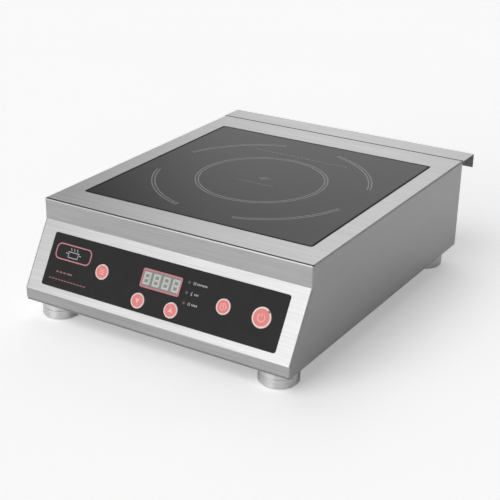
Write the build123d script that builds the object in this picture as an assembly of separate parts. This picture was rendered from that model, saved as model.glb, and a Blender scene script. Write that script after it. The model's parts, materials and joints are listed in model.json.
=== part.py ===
from build123d import *
import math
import os

os.makedirs("parts", exist_ok=True)

# Induction hob, counter-top, single zone. Millimetres, +Z up, front faces -Y.
# Origin: middle of the footprint, on the surface the hob stands on.

# ---------------------------------------------------------------- driving dimensions
# Housing
BODY_W = 330.0              # across the sides
TOP_D = 361.0               # top sheet, front fold to rear seam
SPACER_D = 32.5             # rear wall spacer, seam to its turned-down edge
PANEL_RUN = 39.5            # how far the control panel leans forward
PANEL_DROP = 67.0           # height of the leaning panel
STRIP_H = 24.0              # upright strip above the panel
LIP_H = 14.2                # upright lip below the panel, base plate included
FOOT_H = 20.0               # floor to base plate
SHEET = 1.0                 # stainless sheet
FOLD_R = 2.2                # outside radius of the folds across the front
EDGE_R = 2.0                # outside radius of the side folds
RETURN_W = 14.0             # inward return flanges at the bottom, sides and rear
RETURN_TOP = 20.0           # the rear return under the top, which the spacer is screwed to
SPACER_LIP = 16.8           # drop of the spacer's rear edge
SPACER_TAB = 20.0           # drop of the spacer's fixing tab
TAB_INSET = 9.0             # the tab's ends stop this short of the spacer's
SEAM_R = 0.5                # fold between the tab and the spacer's top

# Glass and its seat
CUTOUT = 284.0              # square cut-out in the top sheet
CUTOUT_R = 4.0
GLASS_Y = 3.4               # centre of the cut-out
GLASS_T = 4.0
SEAL_GAP = 1.0              # silicone joint round the glass
LEDGE_W = 11.0              # seat under the glass edge

# Induction unit
COIL_TURNS = 19
COIL_PITCH = 3.6
COIL_IN_R = 28.0
LITZ_W = 3.0
LITZ_H = 3.2
CARRIER_R = 105.0
FERRITES = 8
POST_OFF = 112.0            # coil posts, from the glass centre

# Electronics
STANDOFF_H = 9.0
BOARD_T = 1.6
BOARD_X = 104.0             # half width of the power board
BOARD_Y = (-66.0, 134.0)
HEATSINK_X = (-52.0, 38.0)
HEATSINK_Y = (-54.0, 66.0)
HEATSINK_LEG = 8.0          # the heatsink's base stands this far off the board
HEATSINK_BASE = 6.0
HEATSINK_H = 38.0           # base and fins
FIN_T = 1.8
FINS = 13
DEVICE_H = 5.0              # power semiconductors, lying flat
LEAD_R = 2.2                # sleeved coil leads
FAN_LEAD_R = 1.2
FAN_LEAD_X = 60.0
RIBBON_X = -84.0            # flat cable between the boards
RIBBON_W = 16.0
RIBBON_DOWN = 24.0
RIBBON_END_Y = -60.0

# Fans
FAN = 80.0
FAN_H = 25.0
FAN_X = 62.0
FAN_Y = -120.0
FAN_BLADES = 7
FAN_DUCT_R = 38.0
FAN_TIP_R = 36.8
FAN_HUB_R = 15.5
FAN_SHAFT_R = 1.5
FAN_ARM_T = 3.0
HOOD_X = 104.0              # half width of the air hood
HOOD_Y = (-162.0, -76.0)
HOOD_TOP = 88.0
HOOD_WALL = 1.6

# Control panel, measured down the panel from its upper fold
OVERLAY = (291.0, 58.4)
OVERLAY_MID = 40.1
OVERLAY_T = 0.8
KEY_R = 8.2
POWER_KEY_R = 10.7
KEYS = {
    "menu_key": (-73.2, 39.5, KEY_R),
    "down_key": (-20.8, 57.7, KEY_R),
    "up_key": (20.5, 57.7, KEY_R),
    "timer_key": (77.7, 39.5, KEY_R),
    "power_key": (121.6, 39.4, POWER_KEY_R),
}
KEY_PROUD = 0.7             # key face over the overlay
KEY_TRAVEL = 0.6
STEM_END = -5.0             # end of a key's stem, along the panel's normal
DISPLAY = (48.5, 20.0)
DISPLAY_AT = (0.3, 32.9)
LED_X = 32.8
LED_DOWN = (25.3, 36.0, 46.7)
LED_R = 1.5

# Feet
FOOT_R = 21.0
FOOT_X = 138.0
FOOT_FRONT = -189.5
FOOT_REAR = 154.7
STUD_R = 4.9
STUD_TOP = 43.0
COLLAR_GAP = 0.3
CUP_TOP = 11.0
CUP_BOTTOM = 0.8
SOLE_R = 18.0
SOLE_TOP = 3.0

# Mains cable gland in the rear panel
GLAND_X = 118.0
GLAND_Z = 52.0
CABLE_R = 4.5

# Fasteners
M4_R = 1.95
M4_HEAD_R = 3.6
M4_HEAD_H = 2.4
M4_L = 8.0
M3_R = 1.45
M3_HEAD_R = 2.8
M3_HEAD_H = 2.0
M3_L = 6.0
PLAY = 0.15                 # a hole's radius over its screw's radius

# ---------------------------------------------------------------- levels worked out
TOTAL_D = PANEL_RUN + TOP_D + SPACER_D
Y_LIP = -TOTAL_D / 2
Y_STRIP = Y_LIP + PANEL_RUN
Y_SEAM = Y_STRIP + TOP_D
Y_BACK = TOTAL_D / 2
Z_BASE = FOOT_H
Z_FLOOR = Z_BASE + SHEET                    # upper side of the base plate
Z_FOLD = Z_BASE + LIP_H
Z_KNEE = Z_FOLD + PANEL_DROP
Z_TOP = Z_KNEE + STRIP_H
Y_REAR = Y_SEAM - SHEET                     # rear of the shell, where the rear panel lies on it
Z_GLASS = Z_TOP - GLASS_T
Z_LEDGE = Z_GLASS - SHEET
Z_MICA = Z_LEDGE - 2.2
Z_COIL = Z_MICA - 0.5 - LITZ_H
Z_CARRIER = Z_COIL - 3.0
Z_FERRITE = Z_CARRIER - 4.0
Z_PLATE = Z_FERRITE - 1.5
Z_BOARD = Z_FLOOR + STANDOFF_H
Z_PARTS = Z_BOARD + BOARD_T                 # upper side of the power board
HALF_W = BODY_W / 2
HEX_Y = (Y_SEAM, Y_SEAM + 7.0)              # cable gland, outwards from the rear panel
NECK_END = Y_SEAM + 15.0
SEAL_END = Y_SEAM + 18.0
CAP_END = Y_SEAM + 22.0
POSTS = [(sx * POST_OFF, GLASS_Y + sy * POST_OFF) for sx in (-1, 1) for sy in (-1, 1)]
FEET = {
    "front_left": (-FOOT_X, FOOT_FRONT),
    "front_right": (FOOT_X, FOOT_FRONT),
    "rear_left": (-FOOT_X, FOOT_REAR),
    "rear_right": (FOOT_X, FOOT_REAR),
}

# The panel's own plane: x across, y up the panel, z out of it.
PANEL_LEN = math.hypot(PANEL_RUN, PANEL_DROP)
PANEL = Plane(
    origin=(0, Y_STRIP, Z_KNEE),
    x_dir=(1, 0, 0),
    z_dir=(0, -PANEL_DROP / PANEL_LEN, PANEL_RUN / PANEL_LEN),
)
CONTROL_BOARD_N = -SHEET - STANDOFF_H       # front face of the control board, along the normal
CONTROL_STANDOFFS = [(sx * 118.0, down) for sx in (-1, 1) for down in (18.0, 61.0)]
POWER_STANDOFFS = [(sx * 98.0, y) for sx in (-1, 1) for y in (-60.0, 34.0, 128.0)]

# Screw places, as (x, y) under the base and (x, z) on the rear
BASE_SCREWS = [(sx * 157.5, y) for sx in (-1, 1) for y in (-120.0, -10.0, 100.0)]
BASE_SCREWS += [(sx * 70.0, y) for sx in (-1, 1) for y in (Y_LIP + 9.0, Y_REAR - 8.0)]
REAR_SCREWS = [(sx * 157.5, z) for sx in (-1, 1) for z in (45.0, 90.0)]
SPACER_SCREWS = [(x, Z_TOP - 13.0) for x in (-135.0, -45.0, 45.0, 135.0)]
FAN_SCREW_OFF = 35.75
FAN_CENTRES = {"left": (-FAN_X, FAN_Y), "right": (FAN_X, FAN_Y)}


# ---------------------------------------------------------------- helpers
def block(x, y, z):
    """Box between the two ends given for each axis."""
    size = [b - a for a, b in (x, y, z)]
    middle = [(a + b) / 2 for a, b in (x, y, z)]
    return Pos(*middle) * Box(*size)


def rod(x, y, z, radius):
    """Upright cylinder between the two heights in z."""
    return Pos(x, y, (z[0] + z[1]) / 2) * Cylinder(radius, z[1] - z[0])


def rod_y(x, z, y, radius):
    """Cylinder along Y between the two ends in y."""
    return Pos(x, (y[0] + y[1]) / 2, z) * Rot(90, 0, 0) * Cylinder(radius, y[1] - y[0])


def hex_rod(x, y, z, across):
    """Upright hexagonal bar, across its flats."""
    bar = extrude(RegularPolygon(across / math.sqrt(3), 6), z[1] - z[0])
    return Pos(x, y, z[0]) * bar


def slab(width, depth, corner, z):
    """Upright plate with rounded corners, centred on X and Y."""
    plate = extrude(RectangleRounded(width, depth, corner), z[1] - z[0])
    return Pos(0, 0, z[0]) * plate


def on_panel(x, down, n, shape):
    """Place a shape on the leaning panel, at a distance down it and n along its normal."""
    return PANEL * Pos(x, -down, n) * shape


def panel_rod(x, down, n, radius):
    """Cylinder square to the panel between the two offsets in n."""
    return on_panel(x, down, (n[0] + n[1]) / 2, Cylinder(radius, n[1] - n[0]))


def panel_slab(x, down, size, corner, n):
    """Rounded plate parallel to the panel between the two offsets in n."""
    plate = extrude(RectangleRounded(size[0], size[1], corner), n[1] - n[0])
    return on_panel(x, down, n[0], plate)


def screw(radius, length, head_r, head_h):
    """Pan-head screw: its head rises from z = 0 and its shank points down."""
    head = Pos(0, 0, head_h / 2) * Cylinder(head_r, head_h)
    head = fillet(head.edges().group_by(Axis.Z)[-1], head_h * 0.45)
    slot = Pos(0, 0, head_h) * Box(head_r * 1.2, head_r * 0.28, head_h)
    cross = Rot(0, 0, 90) * slot
    shank = Pos(0, 0, -length / 2) * Cylinder(radius, length)
    return head - slot - cross + shank


M4_SCREW = screw(M4_R, M4_L, M4_HEAD_R, M4_HEAD_H)
M3_SCREW = screw(M3_R, M3_L, M3_HEAD_R, M3_HEAD_H)
FROM_BELOW = Rot(180, 0, 0)
FROM_REAR = Rot(-90, 0, 0)


def group(pieces):
    """Separate identical solids that share one node."""
    return Compound(children=[piece.solids()[0] for piece in pieces])


def cable(points, bend, radius):
    """Round cable: straight runs through the points, joined by tangent arcs."""
    corners = [Vector(*p) for p in points]
    edges = []
    start = corners[0]
    for before, at, after in zip(corners, corners[1:], corners[2:]):
        back = (before - at).normalized()
        ahead = (after - at).normalized()
        half = math.acos(max(-1.0, min(1.0, back.dot(ahead)))) / 2
        reach = bend / math.tan(half)
        first = at + back * reach
        last = at + ahead * reach
        middle_dir = (back + ahead).normalized()
        middle = at + middle_dir * (bend / math.sin(half) - bend)
        edges.append(Line(start, first))
        edges.append(ThreePointArc(first, middle, last))
        start = last
    edges.append(Line(start, corners[-1]))
    path = Wire([edge.edges()[0] for edge in edges])
    face = Plane(origin=corners[0], z_dir=corners[1] - corners[0]) * Circle(radius)
    return sweep(face, path=path)


# ---------------------------------------------------------------- housing
def housing_outline():
    """Side view of the shell, in Y and Z."""
    return [
        (Y_LIP, Z_FLOOR),
        (Y_LIP, Z_FOLD),
        (Y_STRIP, Z_KNEE),
        (Y_STRIP, Z_TOP),
        (Y_REAR, Z_TOP),
        (Y_REAR, Z_FLOOR),
    ]


def folded_body(inset, fold_r, edge_r):
    """The shell's volume, its walls moved in by inset and its front folds rounded."""
    points = housing_outline()
    outline = make_face(Polyline(*points, points[0]))
    if inset:
        outline = offset(outline, amount=-inset, kind=Kind.INTERSECTION)
    front_corners = outline.vertices().sort_by(Axis.X)[:4]
    outline = fillet(front_corners, fold_r)
    body = extrude(Plane.YZ * outline, amount=HALF_W - inset, both=True)
    sides = body.faces().sort_by(Axis.X)
    rim = sides[0].outer_wire().edges() + sides[-1].outer_wire().edges()
    return fillet(rim, edge_r)


def top_shell():
    """Top, front strip, leaning panel, lip and both sides, folded from one sheet."""
    shell = folded_body(0, FOLD_R, EDGE_R)
    shell -= folded_body(SHEET, FOLD_R - SHEET, EDGE_R - SHEET - 0.2)
    inner_x = (RETURN_W - HALF_W, HALF_W - RETURN_W)
    below = (Z_BASE - 5, Z_FLOOR + 2 * SHEET)
    behind = (Y_REAR - 3 * SHEET, Y_REAR + 5)
    shell -= block(inner_x, (Y_LIP + RETURN_W, Y_REAR - RETURN_W), below)
    shell -= block(inner_x, behind, (Z_FLOOR + RETURN_W, Z_TOP - RETURN_TOP))
    shell -= Pos(0, GLASS_Y, 0) * slab(CUTOUT, CUTOUT, CUTOUT_R, (Z_TOP - 3 * SHEET, Z_TOP + 5))
    for x, down, radius in KEYS.values():
        shell -= panel_rod(x, down, (-3, 3), radius + 0.6)
    for down in LED_DOWN:
        shell -= panel_rod(LED_X, down, (-3, 3), LED_R + 0.4)
    window = (DISPLAY[0] + 0.6, DISPLAY[1] + 0.6)
    shell -= panel_slab(*DISPLAY_AT, window, 2.3, (-3, 3))
    for x, y in BASE_SCREWS:
        shell -= rod(x, y, (Z_FLOOR - 1, Z_FLOOR + 3), M4_R + PLAY)
    for x, z in REAR_SCREWS + SPACER_SCREWS:
        shell -= rod_y(x, z, (Y_REAR - 3, Y_REAR + 1), M4_R + PLAY)
    return shell


def base_plate():
    """Flat base under the shell, with the fans' intake slots."""
    edge = 1.0
    plate = block((-HALF_W + edge, HALF_W - edge), (Y_LIP + edge, Y_REAR), (Z_BASE, Z_FLOOR))
    for fx, fy in FAN_CENTRES.values():
        for row in range(-4, 5):
            y = row * 8.0
            length = 2 * math.sqrt(36.0**2 - y**2)
            slot = extrude(SlotOverall(length, 4.0), 4 * SHEET)
            plate -= Pos(fx, fy + y, Z_BASE - SHEET) * slot
        for x, y in fan_screw_places(fx, fy):
            plate -= rod(x, y, (Z_BASE - 1, Z_FLOOR + 1), M4_R + PLAY)
    for x, y in BASE_SCREWS + POSTS:
        plate -= rod(x, y, (Z_BASE - 1, Z_FLOOR + 1), M4_R + PLAY)
    for x, y in FEET.values():
        plate -= rod(x, y, (Z_BASE - 1, Z_FLOOR + 1), STUD_R + 0.5)
    return plate


def rear_panel():
    """Rear sheet with the exhaust slots and the gland's hole."""
    panel = block((-HALF_W + 1.5, HALF_W - 1.5), (Y_REAR, Y_SEAM), (Z_FLOOR + 0.5, Z_TOP - 2.5))
    for column in range(-10, 11):
        slot = extrude(SlotOverall(54.0, 4.0, rotation=90), 4 * SHEET)
        panel -= Pos(column * 8.5 - 12.0, Y_SEAM + SHEET, 65.0) * Rot(90, 0, 0) * slot
    panel -= rod_y(GLAND_X, GLAND_Z, (Y_REAR - 1, Y_SEAM + 1), 10.05)
    for x, z in REAR_SCREWS + SPACER_SCREWS:
        panel -= rod_y(x, z, (Y_REAR - 1, Y_SEAM + 1), M4_R + PLAY)
    return panel


def rear_spacer():
    """Folded channel behind the top that keeps the hob off the wall."""
    y0 = Y_SEAM
    outer = [(y0, Z_TOP - SPACER_TAB), (y0, Z_TOP), (Y_BACK, Z_TOP), (Y_BACK, Z_TOP - SPACER_LIP)]
    inner = [
        (Y_BACK - SHEET, Z_TOP - SPACER_LIP),
        (Y_BACK - SHEET, Z_TOP - SHEET),
        (y0 + SHEET, Z_TOP - SHEET),
        (y0 + SHEET, Z_TOP - SPACER_TAB),
    ]
    points = outer + inner
    outline = make_face(Polyline(*points, points[0]))
    outline = fillet(outline.vertices().sort_by_distance((Y_BACK, Z_TOP))[0], FOLD_R)
    outline = fillet(outline.vertices().sort_by_distance((y0, Z_TOP))[0], SEAM_R)
    spacer = extrude(Plane.YZ * outline, amount=HALF_W, both=True)
    tab_z = (Z_TOP - SPACER_TAB - 1, Z_TOP - 2 * SHEET)
    for end in ((-HALF_W - 1, TAB_INSET - HALF_W), (HALF_W - TAB_INSET, HALF_W + 1)):
        spacer -= block(end, (y0 - 1, y0 + 2 * SHEET), tab_z)
    for x, z in SPACER_SCREWS:
        spacer -= rod_y(x, z, (y0 - 1, y0 + 2 * SHEET), M4_R + PLAY)
    return spacer


def glass_support_frame():
    """Picture-frame tray under the cut-out that the glass sits in."""
    outer = CUTOUT + 2 * SHEET
    seat = CUTOUT - 2 * LEDGE_W
    frame = slab(CUTOUT + 24.0, CUTOUT + 24.0, 6.0, (Z_TOP - 2 * SHEET, Z_TOP - SHEET))
    frame += slab(outer, outer, 5.0, (Z_LEDGE - SHEET, Z_TOP - 2 * SHEET))
    frame -= slab(CUTOUT, CUTOUT, CUTOUT_R, (Z_LEDGE, Z_TOP))
    frame -= slab(seat, seat, 3.0, (Z_LEDGE - 2 * SHEET, Z_TOP))
    return Pos(0, GLASS_Y, 0) * frame


# ---------------------------------------------------------------- glass
def ceramic_glass():
    """Black glass-ceramic cooking plate, its top edge ground to a small bevel."""
    side = CUTOUT - 2 * SEAL_GAP
    glass = slab(side, side, CUTOUT_R - SEAL_GAP, (Z_GLASS, Z_TOP))
    glass = chamfer(glass.faces().sort_by(Axis.Z)[-1].edges(), 0.4)
    return Pos(0, GLASS_Y, 0) * glass


def glass_seal():
    """Silicone joint round the glass and the bead that it is bonded on."""
    side = CUTOUT - 2 * SEAL_GAP
    seat = CUTOUT - 2 * LEDGE_W
    seal = slab(CUTOUT, CUTOUT, CUTOUT_R, (Z_LEDGE, Z_TOP - 0.3))
    seal -= slab(side, side, CUTOUT_R - SEAL_GAP, (Z_GLASS, Z_TOP + 1))
    seal -= slab(seat + 2, seat + 2, 4.0, (Z_LEDGE - 1, Z_TOP))
    return Pos(0, GLASS_Y, 0) * seal


# ---------------------------------------------------------------- induction unit
def litz_spiral():
    """Flat spiral of half turns: each is wider than the last by half the pitch."""
    step = COIL_PITCH / 2
    halves = []
    for k in range(2 * COIL_TURNS):
        radius = COIL_IN_R + k * step
        ring = Circle(radius + LITZ_W) - Circle(radius)
        side = 1 if k % 2 == 0 else -1
        keep = Pos(0, side * radius, 0) * Rectangle(4 * radius, 2 * radius)
        halves.append(Pos(0 if side > 0 else step, 0, 0) * (ring & keep))
    return Sketch() + halves


def induction_coil():
    """Litz winding, spiral from the middle outwards."""
    return Pos(0, GLASS_Y, Z_COIL) * extrude(litz_spiral(), LITZ_H)


def coil_carrier():
    """Moulded disc that holds the winding between its rims."""
    carrier = rod(0, 0, (Z_CARRIER, Z_COIL), CARRIER_R)
    for inner, outer in ((CARRIER_R - 4.0, CARRIER_R), (20.0, 24.0)):
        rim = rod(0, 0, (Z_COIL, Z_COIL + LITZ_H), outer) - rod(0, 0, (Z_COIL, Z_COIL + LITZ_H), inner)
        carrier += rim
    carrier -= rod(0, 0, (Z_CARRIER - 1, Z_COIL + 1), 7.3)
    for k in range(FERRITES):
        turn = Rot(0, 0, (k + 0.5) * 360 / FERRITES)
        carrier -= turn * block((44.0, 92.0), (-6.0, 6.0), (Z_CARRIER - 1, Z_COIL + 1))
    for x, y in lead_holes():
        carrier -= rod(x, y, (Z_CARRIER - 1, Z_COIL + 1), 2.6)
    return Pos(0, GLASS_Y, 0) * carrier


def lead_holes():
    """Where the coil's two ends go down, from the coil's centre."""
    last = COIL_IN_R + (2 * COIL_TURNS - 1) * COIL_PITCH / 2
    outer_end = COIL_PITCH / 2 + last + LITZ_W / 2
    return [(COIL_IN_R + LITZ_W / 2, 0.0), (outer_end, 0.0)]


def ferrite_bars():
    """Flat ferrite bars, radial, under the carrier."""
    bar = block((32.0, 98.0), (-7.0, 7.0), (Z_FERRITE, Z_CARRIER))
    turns = [(k + 0.5) * 360 / FERRITES for k in range(FERRITES)]
    return group([Pos(0, GLASS_Y, 0) * Rot(0, 0, turn) * bar for turn in turns])


def coil_plate():
    """Aluminium plate on four posts that carries the coil unit."""
    side = 2 * POST_OFF + 22.0
    plate = slab(side, side, 12.0, (Z_PLATE, Z_FERRITE))
    plate -= rod(0, 0, (Z_PLATE - 1, Z_FERRITE + 1), 5.0)
    for x, y in lead_holes():
        plate -= rod(x, y, (Z_PLATE - 1, Z_FERRITE + 1), 2.8)
    plate = Pos(0, GLASS_Y, 0) * plate
    for x, y in POSTS:
        plate -= rod(x, y, (Z_PLATE - 1, Z_FERRITE + 1), M4_R + PLAY)
    return plate


def coil_posts():
    """Hexagonal posts from the base plate to the coil plate, tapped at both ends."""
    posts = []
    for x, y in POSTS:
        post = hex_rod(x, y, (Z_FLOOR, Z_PLATE), 9.0)
        post -= rod(x, y, (Z_FLOOR - 1, Z_FLOOR + 9), M4_R + 0.05)
        post -= rod(x, y, (Z_PLATE - 9, Z_PLATE + 1), M4_R + 0.05)
        posts.append(post)
    return group(posts)


def mica_sheet():
    """Mica disc over the winding."""
    disc = rod(0, 0, (Z_MICA - 0.5, Z_MICA), CARRIER_R) - rod(0, 0, (Z_MICA - 1, Z_MICA + 1), 8.0)
    return Pos(0, GLASS_Y, 0) * disc


def thermistor_probe():
    """Temperature probe in its silicone sleeve, pressed up to the glass."""
    probe = rod(0, 0, (Z_FERRITE, Z_GLASS), 7.0)
    probe = chamfer(probe.edges().group_by(Axis.Z)[-1], 1.0)
    return Pos(0, GLASS_Y, 0) * probe


# ---------------------------------------------------------------- power electronics
def power_board():
    """Main circuit board, on standoffs."""
    board = block((-BOARD_X, BOARD_X), BOARD_Y, (Z_BOARD, Z_PARTS))
    for x, y in POWER_STANDOFFS:
        board -= rod(x, y, (Z_BOARD - 1, Z_PARTS + 1), M3_R + PLAY)
    return board


def board_standoffs():
    """Hexagonal M3 standoffs: six under the power board, four behind the panel."""
    tube = hex_rod(0, 0, (0, STANDOFF_H), 5.5) - rod(0, 0, (-1, STANDOFF_H + 1), M3_R + 0.05)
    under = [Pos(x, y, Z_FLOOR) * tube for x, y in POWER_STANDOFFS]
    behind = [on_panel(x, down, CONTROL_BOARD_N, tube) for x, down in CONTROL_STANDOFFS]
    return group(under + behind)


def heatsink():
    """Extruded aluminium heatsink, its base held off the board on two legs."""
    z0 = Z_PARTS + HEATSINK_LEG
    leg = 3.0
    sink = block(HEATSINK_X, HEATSINK_Y, (z0, z0 + HEATSINK_BASE))
    for x in (HEATSINK_X[0], HEATSINK_X[1] - leg):
        sink += block((x, x + leg), HEATSINK_Y, (Z_PARTS, z0))
    pitch = (HEATSINK_X[1] - HEATSINK_X[0] - FIN_T) / (FINS - 1)
    for k in range(FINS):
        x = HEATSINK_X[0] + k * pitch
        sink += block((x, x + FIN_T), HEATSINK_Y, (z0 + HEATSINK_BASE, z0 + HEATSINK_H))
    return sink


def flat_device(x, y, width, legs):
    """Power semiconductor lying under the heatsink, its legs bent down to the board."""
    top = Z_PARTS + HEATSINK_LEG
    body = block((x - width / 2, x + width / 2), (y, y + 20.0), (top - DEVICE_H, top))
    for k in range(legs):
        lx = x + (k - (legs - 1) / 2) * 5.4
        body += block((lx - 0.6, lx + 0.6), (y - 4.0, y), (top - 3.2, top - 2.4))
        body += block((lx - 0.6, lx + 0.6), (y - 4.0, y - 3.2), (Z_PARTS, top - 2.4))
    return body


def igbt_transistors():
    """Two switching transistors."""
    return group([flat_device(-28.0, y, 16.0, 3) for y in (-36.0, 10.0)])


def bridge_rectifier():
    """Mains bridge rectifier."""
    return flat_device(12.0, -12.0, 30.0, 4)


def box_capacitor(x, y, size):
    """Film capacitor in a potted box."""
    sx, sy, sz = size
    box = block((x - sx / 2, x + sx / 2), (y - sy / 2, y + sy / 2), (Z_PARTS, Z_PARTS + sz))
    return fillet(box.edges().filter_by(Axis.Z) + box.edges().group_by(Axis.Z)[-1], 1.0)


def smoothing_capacitor():
    """Link capacitor beside the heatsink."""
    return box_capacitor(70.0, -38.0, (42.0, 20.0, 36.0))


def resonant_capacitors():
    """Two film capacitors in parallel with the coil."""
    return group([box_capacitor(-78.0, y, (20.0, 42.0, 32.0)) for y in (-24.0, 26.0)])


def line_choke():
    """Mains filter choke on a ring core, with its winding as ribs."""
    x, y, z = 70.0, 8.0, Z_PARTS
    ring = rod(x, y, (z, z + 16.0), 21.0) - rod(x, y, (z - 1, z + 17.0), 11.0)
    for k in range(16):
        rib = Rot(0, 0, k * 360 / 16) * block((10.0, 22.5), (-1.4, 1.4), (0, 17.5))
        ring += Pos(x, y, z) * rib
    return ring


def supply_transformer():
    """Small transformer of the low-voltage supply."""
    x, y, z = 70.0, 52.0, Z_PARTS
    core = block((x - 14, x + 14), (y - 12, y + 12), (z + 4, z + 20))
    bobbin = block((x - 9, x + 9), (y - 15, y + 15), (z, z + 24))
    return core + bobbin


def reservoir_capacitors():
    """Round electrolytic capacitors of the low-voltage supply."""
    cans = []
    for x in (54.0, 70.0, 86.0):
        can = rod(x, 84.0, (Z_PARTS, Z_PARTS + 22.0), 6.2)
        cans.append(fillet(can.edges().group_by(Axis.Z)[-1], 1.0))
    return group(cans)


def terminal_block():
    """Three-pole mains terminal block at the rear of the board."""
    x, y, z = 70.0, 112.0, Z_PARTS
    strip = block((x - 21, x + 21), (y - 9, y + 9), (z, z + 15))
    for k in (-1, 0, 1):
        strip -= rod(x + k * 13.0, y, (z + 9, z + 16), 3.2)
        strip -= rod_y(x + k * 13.0, z + 5.0, (y + 3, y + 10), 2.4)
    return strip


# ---------------------------------------------------------------- cooling
def fan_screw_places(fx, fy):
    """Four fixing holes of one fan."""
    return [(fx + sx * FAN_SCREW_OFF, fy + sy * FAN_SCREW_OFF) for sx in (-1, 1) for sy in (-1, 1)]


def fan_frame(fx, fy):
    """Square fan housing with its round duct, motor seat and four arms."""
    z0, z1 = Z_FLOOR, Z_FLOOR + FAN_H
    arm = (FAN_DUCT_R + 1, z1 - FAN_ARM_T)
    frame = slab(FAN, FAN, 4.0, (z0, z1)) - rod(0, 0, (z0 - 1, z1 + 1), FAN_DUCT_R)
    for turn in (45, 135):
        frame += Rot(0, 0, turn) * block((-arm[0], arm[0]), (-2.5, 2.5), (arm[1], z1))
    frame += rod(0, 0, (arm[1], z1), FAN_HUB_R + 0.5)
    frame -= rod(0, 0, (arm[1] - 1, z1 + 1), FAN_SHAFT_R + 0.06)
    for x, y in fan_screw_places(0, 0):
        frame -= rod(x, y, (z0 - 1, z1 + 1), M4_R + 0.1)
    return Pos(fx, fy, 0) * frame


def fan_rotor(fx, fy):
    """Hub with its shaft and seven pitched blades."""
    z0, z1 = Z_FLOOR + 3.0, Z_FLOOR + FAN_H - 4.0
    hub = rod(0, 0, (z0, z1), FAN_HUB_R)
    hub = fillet(hub.edges().group_by(Axis.Z)[0], 1.5)
    hub += rod(0, 0, (z1, z1 + FAN_ARM_T + 0.5), FAN_SHAFT_R)
    swept = rod(0, 0, (z0 + 0.5, z1 - 0.5), FAN_TIP_R) - rod(0, 0, (z0, z1), FAN_HUB_R - 0.5)
    blade = Pos(26.0, 0, (z0 + z1) / 2) * Rot(38, 0, 0) * Box(24.0, 26.0, 1.5)
    blade = blade & swept
    for k in range(FAN_BLADES):
        hub += Rot(0, 0, k * 360 / FAN_BLADES) * blade
    return Pos(fx, fy, 0) * hub


def fan_hood():
    """Moulded hood that turns the fans' air back over the heatsink."""
    z0 = Z_FLOOR + FAN_H
    hood = block((-HOOD_X, HOOD_X), HOOD_Y, (z0, HOOD_TOP))
    inside_x = (HOOD_WALL - HOOD_X, HOOD_X - HOOD_WALL)
    inside_y = (HOOD_Y[0] + HOOD_WALL, HOOD_Y[1] + 1)
    return hood - block(inside_x, inside_y, (z0 - 1, HOOD_TOP - HOOD_WALL))


# ---------------------------------------------------------------- control panel
def control_overlay():
    """Black front plate with openings for the keys, the display and the lights."""
    overlay = panel_slab(0, OVERLAY_MID, OVERLAY, 2.6, (0, OVERLAY_T))
    for x, down, radius in KEYS.values():
        overlay -= panel_rod(x, down, (-1, 3), radius + 0.35)
    for down in LED_DOWN:
        overlay -= panel_rod(LED_X, down, (-1, 3), LED_R + 0.15)
    window = (DISPLAY[0] + 0.2, DISPLAY[1] + 0.2)
    return overlay - panel_slab(*DISPLAY_AT, window, 2.1, (-1, 3))


def display_bezel():
    """Pink frame round the display, with a flange behind the sheet."""
    frame = panel_slab(*DISPLAY_AT, DISPLAY, 2.0, (-SHEET, OVERLAY_T + 0.4))
    frame += panel_slab(*DISPLAY_AT, (DISPLAY[0] + 4.0, DISPLAY[1] + 4.0), 3.0, (-2 * SHEET, -SHEET))
    return frame - panel_slab(*DISPLAY_AT, (DISPLAY[0] - 3.2, DISPLAY[1] - 3.2), 1.2, (-5, 3))


def display_module():
    """Four-digit seven-segment display, on the control board."""
    return panel_slab(*DISPLAY_AT, (50.3, 19.0), 0.5, (CONTROL_BOARD_N, -2 * SHEET))


def indicator_lights():
    """Three small round lights with their flanges and wire legs."""
    lights = []
    for down in LED_DOWN:
        tip = OVERLAY_T + 0.3
        light = panel_rod(LED_X, down, (-4.4, tip), LED_R)
        light += panel_rod(LED_X, down, (-5.4, -4.4), LED_R + 0.4)
        for side in (-1, 1):
            leg = Pos(side * 0.9, 0, 0) * Box(0.5, 0.5, -5.4 - CONTROL_BOARD_N)
            light += on_panel(LED_X, down, (CONTROL_BOARD_N - 5.4) / 2, leg)
        lights.append(light)
    return group(lights)


def control_board():
    """Circuit board behind the leaning panel."""
    n = (CONTROL_BOARD_N - BOARD_T, CONTROL_BOARD_N)
    board = panel_slab(0, 39.0, (250.0, 54.0), 2.0, n)
    for x, down in CONTROL_STANDOFFS:
        board -= panel_rod(x, down, (n[0] - 1, n[1] + 1), M3_R + PLAY)
    return board


def key(x, down, radius):
    """Round key: crowned cap, flange behind the sheet and stem to its switch."""
    face = OVERLAY_T + KEY_PROUD
    cap = panel_rod(x, down, (-SHEET - 1.2, face), radius)
    rim = cap.edges().filter_by(GeomType.CIRCLE).sort_by(lambda e: e.center().dot(PANEL.z_dir))[-1]
    cap = fillet(rim, 0.5)
    cap += panel_rod(x, down, (-SHEET - 1.2, -SHEET - 0.05), radius + 1.5)
    return cap + panel_rod(x, down, (STEM_END, -SHEET - 1.2), 2.2)


def tact_switches():
    """Push switches behind the keys."""
    switches = []
    for x, down, _ in KEYS.values():
        base = panel_slab(x, down, (6.0, 6.0), 0.4, (CONTROL_BOARD_N, CONTROL_BOARD_N + 3.5))
        button = panel_rod(x, down, (CONTROL_BOARD_N + 3.5, STEM_END - KEY_TRAVEL - 0.05), 1.75)
        switches.append(base + button)
    return group(switches)


# ---------------------------------------------------------------- feet
def foot_collars():
    """Fixed steel rings under the base that the feet screw up to."""
    collars = []
    for x, y in FEET.values():
        z = (CUP_TOP + COLLAR_GAP, Z_BASE)
        ring = rod(x, y, z, FOOT_R) - rod(x, y, (z[0] - 1, z[1] + 1), 8.0)
        collars.append(ring)
    return group(collars)


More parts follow.
